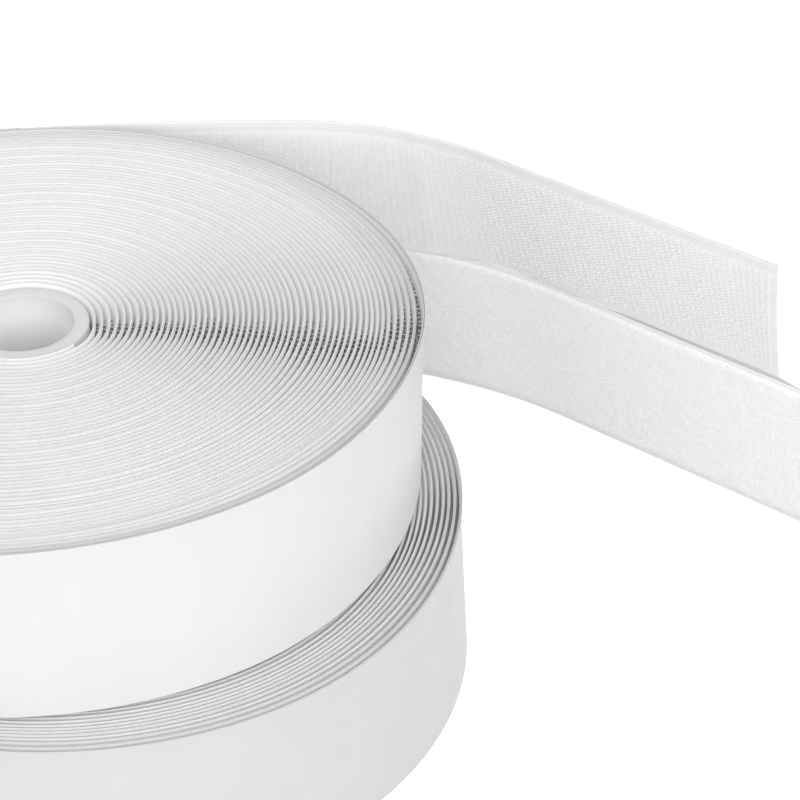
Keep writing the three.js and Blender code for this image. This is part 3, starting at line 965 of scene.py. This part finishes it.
def raise_bed(tail):
    """The bed: its inner face stands off the base by a height plus two sizes of noise, and it falls
    away to nothing at its two long edges by a square root, like the edge of a mown field."""
    along = np.arange(0, tail.length + PILE_STEP / 2, PILE_STEP)
    along[-1] = tail.length
    reach = HALF_WIDTH - tail.roll.selvage
    across = np.linspace(-reach, reach, round(2 * reach / PILE_STEP) + 1)
    s, u = np.meshgrid(along, across, indexing="ij")
    noise = 0.6 * tuft_noise(s, u, 1.7, rng) + 0.4 * tuft_noise(s, u, 0.9, rng)
    mown = np.sqrt(np.clip((reach - np.abs(u)) / PILE_EDGE, 0.04, 1))
    tall = height_near_root(s, *PILE_PRESSED) * mown
    surface = -BASE_HALF - tall * (PILE_BED + 2 * PILE_ROUGH * (noise - 0.5))
    bed = sweep_piece(f"{tail.name}_tail_pile_bed",
                      *ribbon(tail, along, u, surface, np.full_like(s, -BASE_HALF + BED_SEAT)),
                      brushed_pile)
    follow_tail(bed, tail, "tail_pile")


raise_bed(loop_tail)

# %% Stand loose loops on the bed
LOOP_COUNT = 5200
ARC_PATH = [(-0.5, 0.0), (-0.42, 0.55), (0.0, 1.0), (0.42, 0.55), (0.5, 0.0)]
ARC_RADIUS = 0.05
LOOP_SINK = 0.15


def stand_loops(tail):
    """Arcs at random places: the run is turned by any angle in the plane of the tape, 0.7 to 1.5 mm
    wide, and the rise stands 0.2 to 0.45 mm out of the bed."""
    points, quads, ends = tube_template(ARC_PATH, ARC_RADIUS)
    reach = HALF_WIDTH - tail.roll.selvage - 0.6
    along = rng.uniform(0.8, tail.length - 1.0, (LOOP_COUNT, 1))
    across = rng.uniform(-reach, reach, (LOOP_COUNT, 1))
    turn = rng.uniform(0, FULL, (LOOP_COUNT, 1))
    width = rng.uniform(0.7, 1.5, (LOOP_COUNT, 1))
    tall = height_near_root(along, *PILE_PRESSED)
    height = rng.uniform(0.2, 0.45, (LOOP_COUNT, 1)) * tall
    run, rise, sideways = points.T
    place = tail_points(tail, along + np.cos(turn) * run * width - np.sin(turn) * sideways,
                        across + np.sin(turn) * run * width + np.cos(turn) * sideways,
                        -BASE_HALF - tall * (PILE_BED - LOOP_SINK) - rise * height)
    loops = repeat_tube(f"{tail.name}_tail_loops", place, quads, ends, brushed_pile)
    follow_tail(loops, tail, "tail_pile")


stand_loops(loop_tail)

# %% [markdown]
# ## Adhesive and film on the backs
#
# Behind the base come the adhesive and the film, both a little narrower than the tape. On the loop
# tail the upper edge of the film is lifted for a stretch, a grey strip that shows below the hook tail
# as painted shade in the gap between the two tails. The last 40 mm of film are a piece of their own,
# because one bends the tape there to lift that end.

# %% Coat the backs and lay the film
BACK_STEP = 2.0
GLUE_INSET, FILM_INSET = 0.25, 0.2
SHADE_STRIP_RISE, SHADE_STRIP_FALL = 30.0, 8.0


def back_layer(tail, name, start, end, faces, inset, material, slip=(0.0, 0.0, 1.0)):
    """A thin flat layer between two places along the tail, with its long edges set in by inset. A shade
    strip lifts its upper edge between two places, by a smoothstep up and a shorter one down: painted
    shade."""
    along = np.linspace(start, end, math.ceil((end - start) / BACK_STEP) + 1)
    edge = HALF_WIDTH - inset
    across = edge * np.array([-1, -0.9, -0.4, 0, 0.4, 0.9, 1])
    height, first, last = slip
    # Painted shade: the lifted edge puts grey film in the shaded gap between the two tails.
    lift = height * smoothstep(along, first, first + SHADE_STRIP_RISE)
    lift = lift * (1 - smoothstep(along, last - SHADE_STRIP_FALL, last))
    across = across + lift[:, None] * (across == edge)
    return sweep_piece(name, *ribbon(tail, along, across, faces[0], faces[1]), material)


def coat_back(tail):
    """The adhesive, the film that is stuck to it and the end of the film, which peels."""
    glue = back_layer(tail, f"{tail.name}_tail_glue", 0.0, tail.length - 0.3, GLUE, GLUE_INSET,
                      acrylic_adhesive)
    follow_tail(glue, tail, "tail_adhesive")
    film = back_layer(tail, f"{tail.name}_tail_film", 0.0, tail.fold, FILM, FILM_INSET, tail.roll.film,
                      tail.slip)
    follow_tail(film, tail, "tail_liner")
    end = back_layer(tail, f"{tail.name}_film_end", tail.fold, tail.length - 0.05, FILM, FILM_INSET,
                     tail.roll.film, tail.slip)
    follow(end, tail, tail.fold,
           [f"{tail.name}_liner_end"])


coat_back(hook_tail)
coat_back(loop_tail)

# %% [markdown]
# ## Floor, light and view
#
# The scene is a white sweep in soft daylight. The world lights everything, more from the front, where
# one stands at a window, than from behind, and a large weak lamp in front fills in the folds. To the
# camera and to reflections the world is plain white. The floor is white paint too, and it glows a
# little to the camera only, so that it reads as white but still takes the soft shadow of the rolls.

# %% Lay the floor
FLOOR_HALF = 4.0
FLOOR_DROP = 0.05
CAMERA_GLOW = 0.7


def seen_directly(tree):
    """1 for a ray from the camera, a reflection or a pane, and 0 for light on its way to a surface."""
    ray = add_node(tree, "LightPath").outputs
    seen = add_node(tree, "Math", {0: ray["Is Camera Ray"], 1: ray["Is Glossy Ray"]}, operation="ADD")
    return add_node(tree, "Math", {
        0: seen, 1: ray["Is Transmission Ray"]}, operation="ADD", use_clamp=True)


white_sweep, tree = start_material("white_sweep")
glow = add_node(tree, "Math", {0: seen_directly(tree), 1: CAMERA_GLOW}, operation="MULTIPLY")
paint = add_node(tree, "BsdfDiffuse", {"Color": srgb("#C8C8C8")})
shine = add_node(tree, "Emission", {"Strength": glow})
both = add_node(tree, "AddShader", {0: paint, 1: shine})
add_node(tree, "OutputMaterial", {"Surface": both})

corners = np.array([(-1, -1, 0), (1, -1, 0), (1, 1, 0), (-1, 1, 0)])
floor_points = corners * FLOOR_HALF / MM - [0, 0, FLOOR_DROP]
floor = make_piece("white_floor", floor_points, np.array([[0, 1, 2, 3]]), white_sweep)
floor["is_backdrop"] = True

# %% Light the scene
SKY_MEAN, SKY_SWING = 0.71, 0.46
WINDOW_SIDE = (-0.1, -0.64, 0.7)
LAMP_WATTS = 11.0
LAMP_SIZE = 1.0

world = bpy.data.worlds.new("soft_daylight")
bpy.context.scene.world = world
world.use_nodes = True
tree = world.node_tree
tree.nodes.clear()
towards = add_node(tree, "TexCoord").outputs["Generated"]
facing = add_node(tree, "VectorMath", {0: towards, 1: WINDOW_SIDE}, operation="DOT_PRODUCT")
daylight = add_node(tree, "Math", {0: facing, 1: SKY_SWING, 2: SKY_MEAN}, operation="MULTIPLY_ADD")
level = add_node(tree, "Mix", {0: seen_directly(tree), 2: daylight, 3: 1.0})
sky = add_node(tree, "Background", {"Color": srgb("#FFFFFF"), "Strength": level})
add_node(tree, "OutputWorld", {"Surface": sky})

lamp_data = bpy.data.lights.new("window_lamp", "AREA")
lamp_data.energy = LAMP_WATTS
lamp_data.size = LAMP_SIZE
lamp = bpy.data.objects.new("window_lamp", lamp_data)
bpy.context.collection.objects.link(lamp)
lamp_place = np.array([0.3, -1.45, 0.72])
lamp_aim = np.array([-0.05, 0.0, 0.06])
back = (lamp_place - lamp_aim) / np.linalg.norm(lamp_place - lamp_aim)
side = np.cross([0, 0, 1.0], back)
side /= np.linalg.norm(side)
lamp_matrix = np.eye(4)
lamp_matrix[:3] = np.column_stack([side, np.cross(back, side), back, lamp_place])
lamp.matrix_world = Matrix(lamp_matrix.tolist())
bpy.context.scene.view_settings.view_transform = "Standard"
print("sky", SKY_MEAN, "lamp", LAMP_WATTS, "W")

# %% Measure the visual box and finish
low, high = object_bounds()
print("visual box, mm:", [round(1000 * v, 1) for v in (*low, *high)])
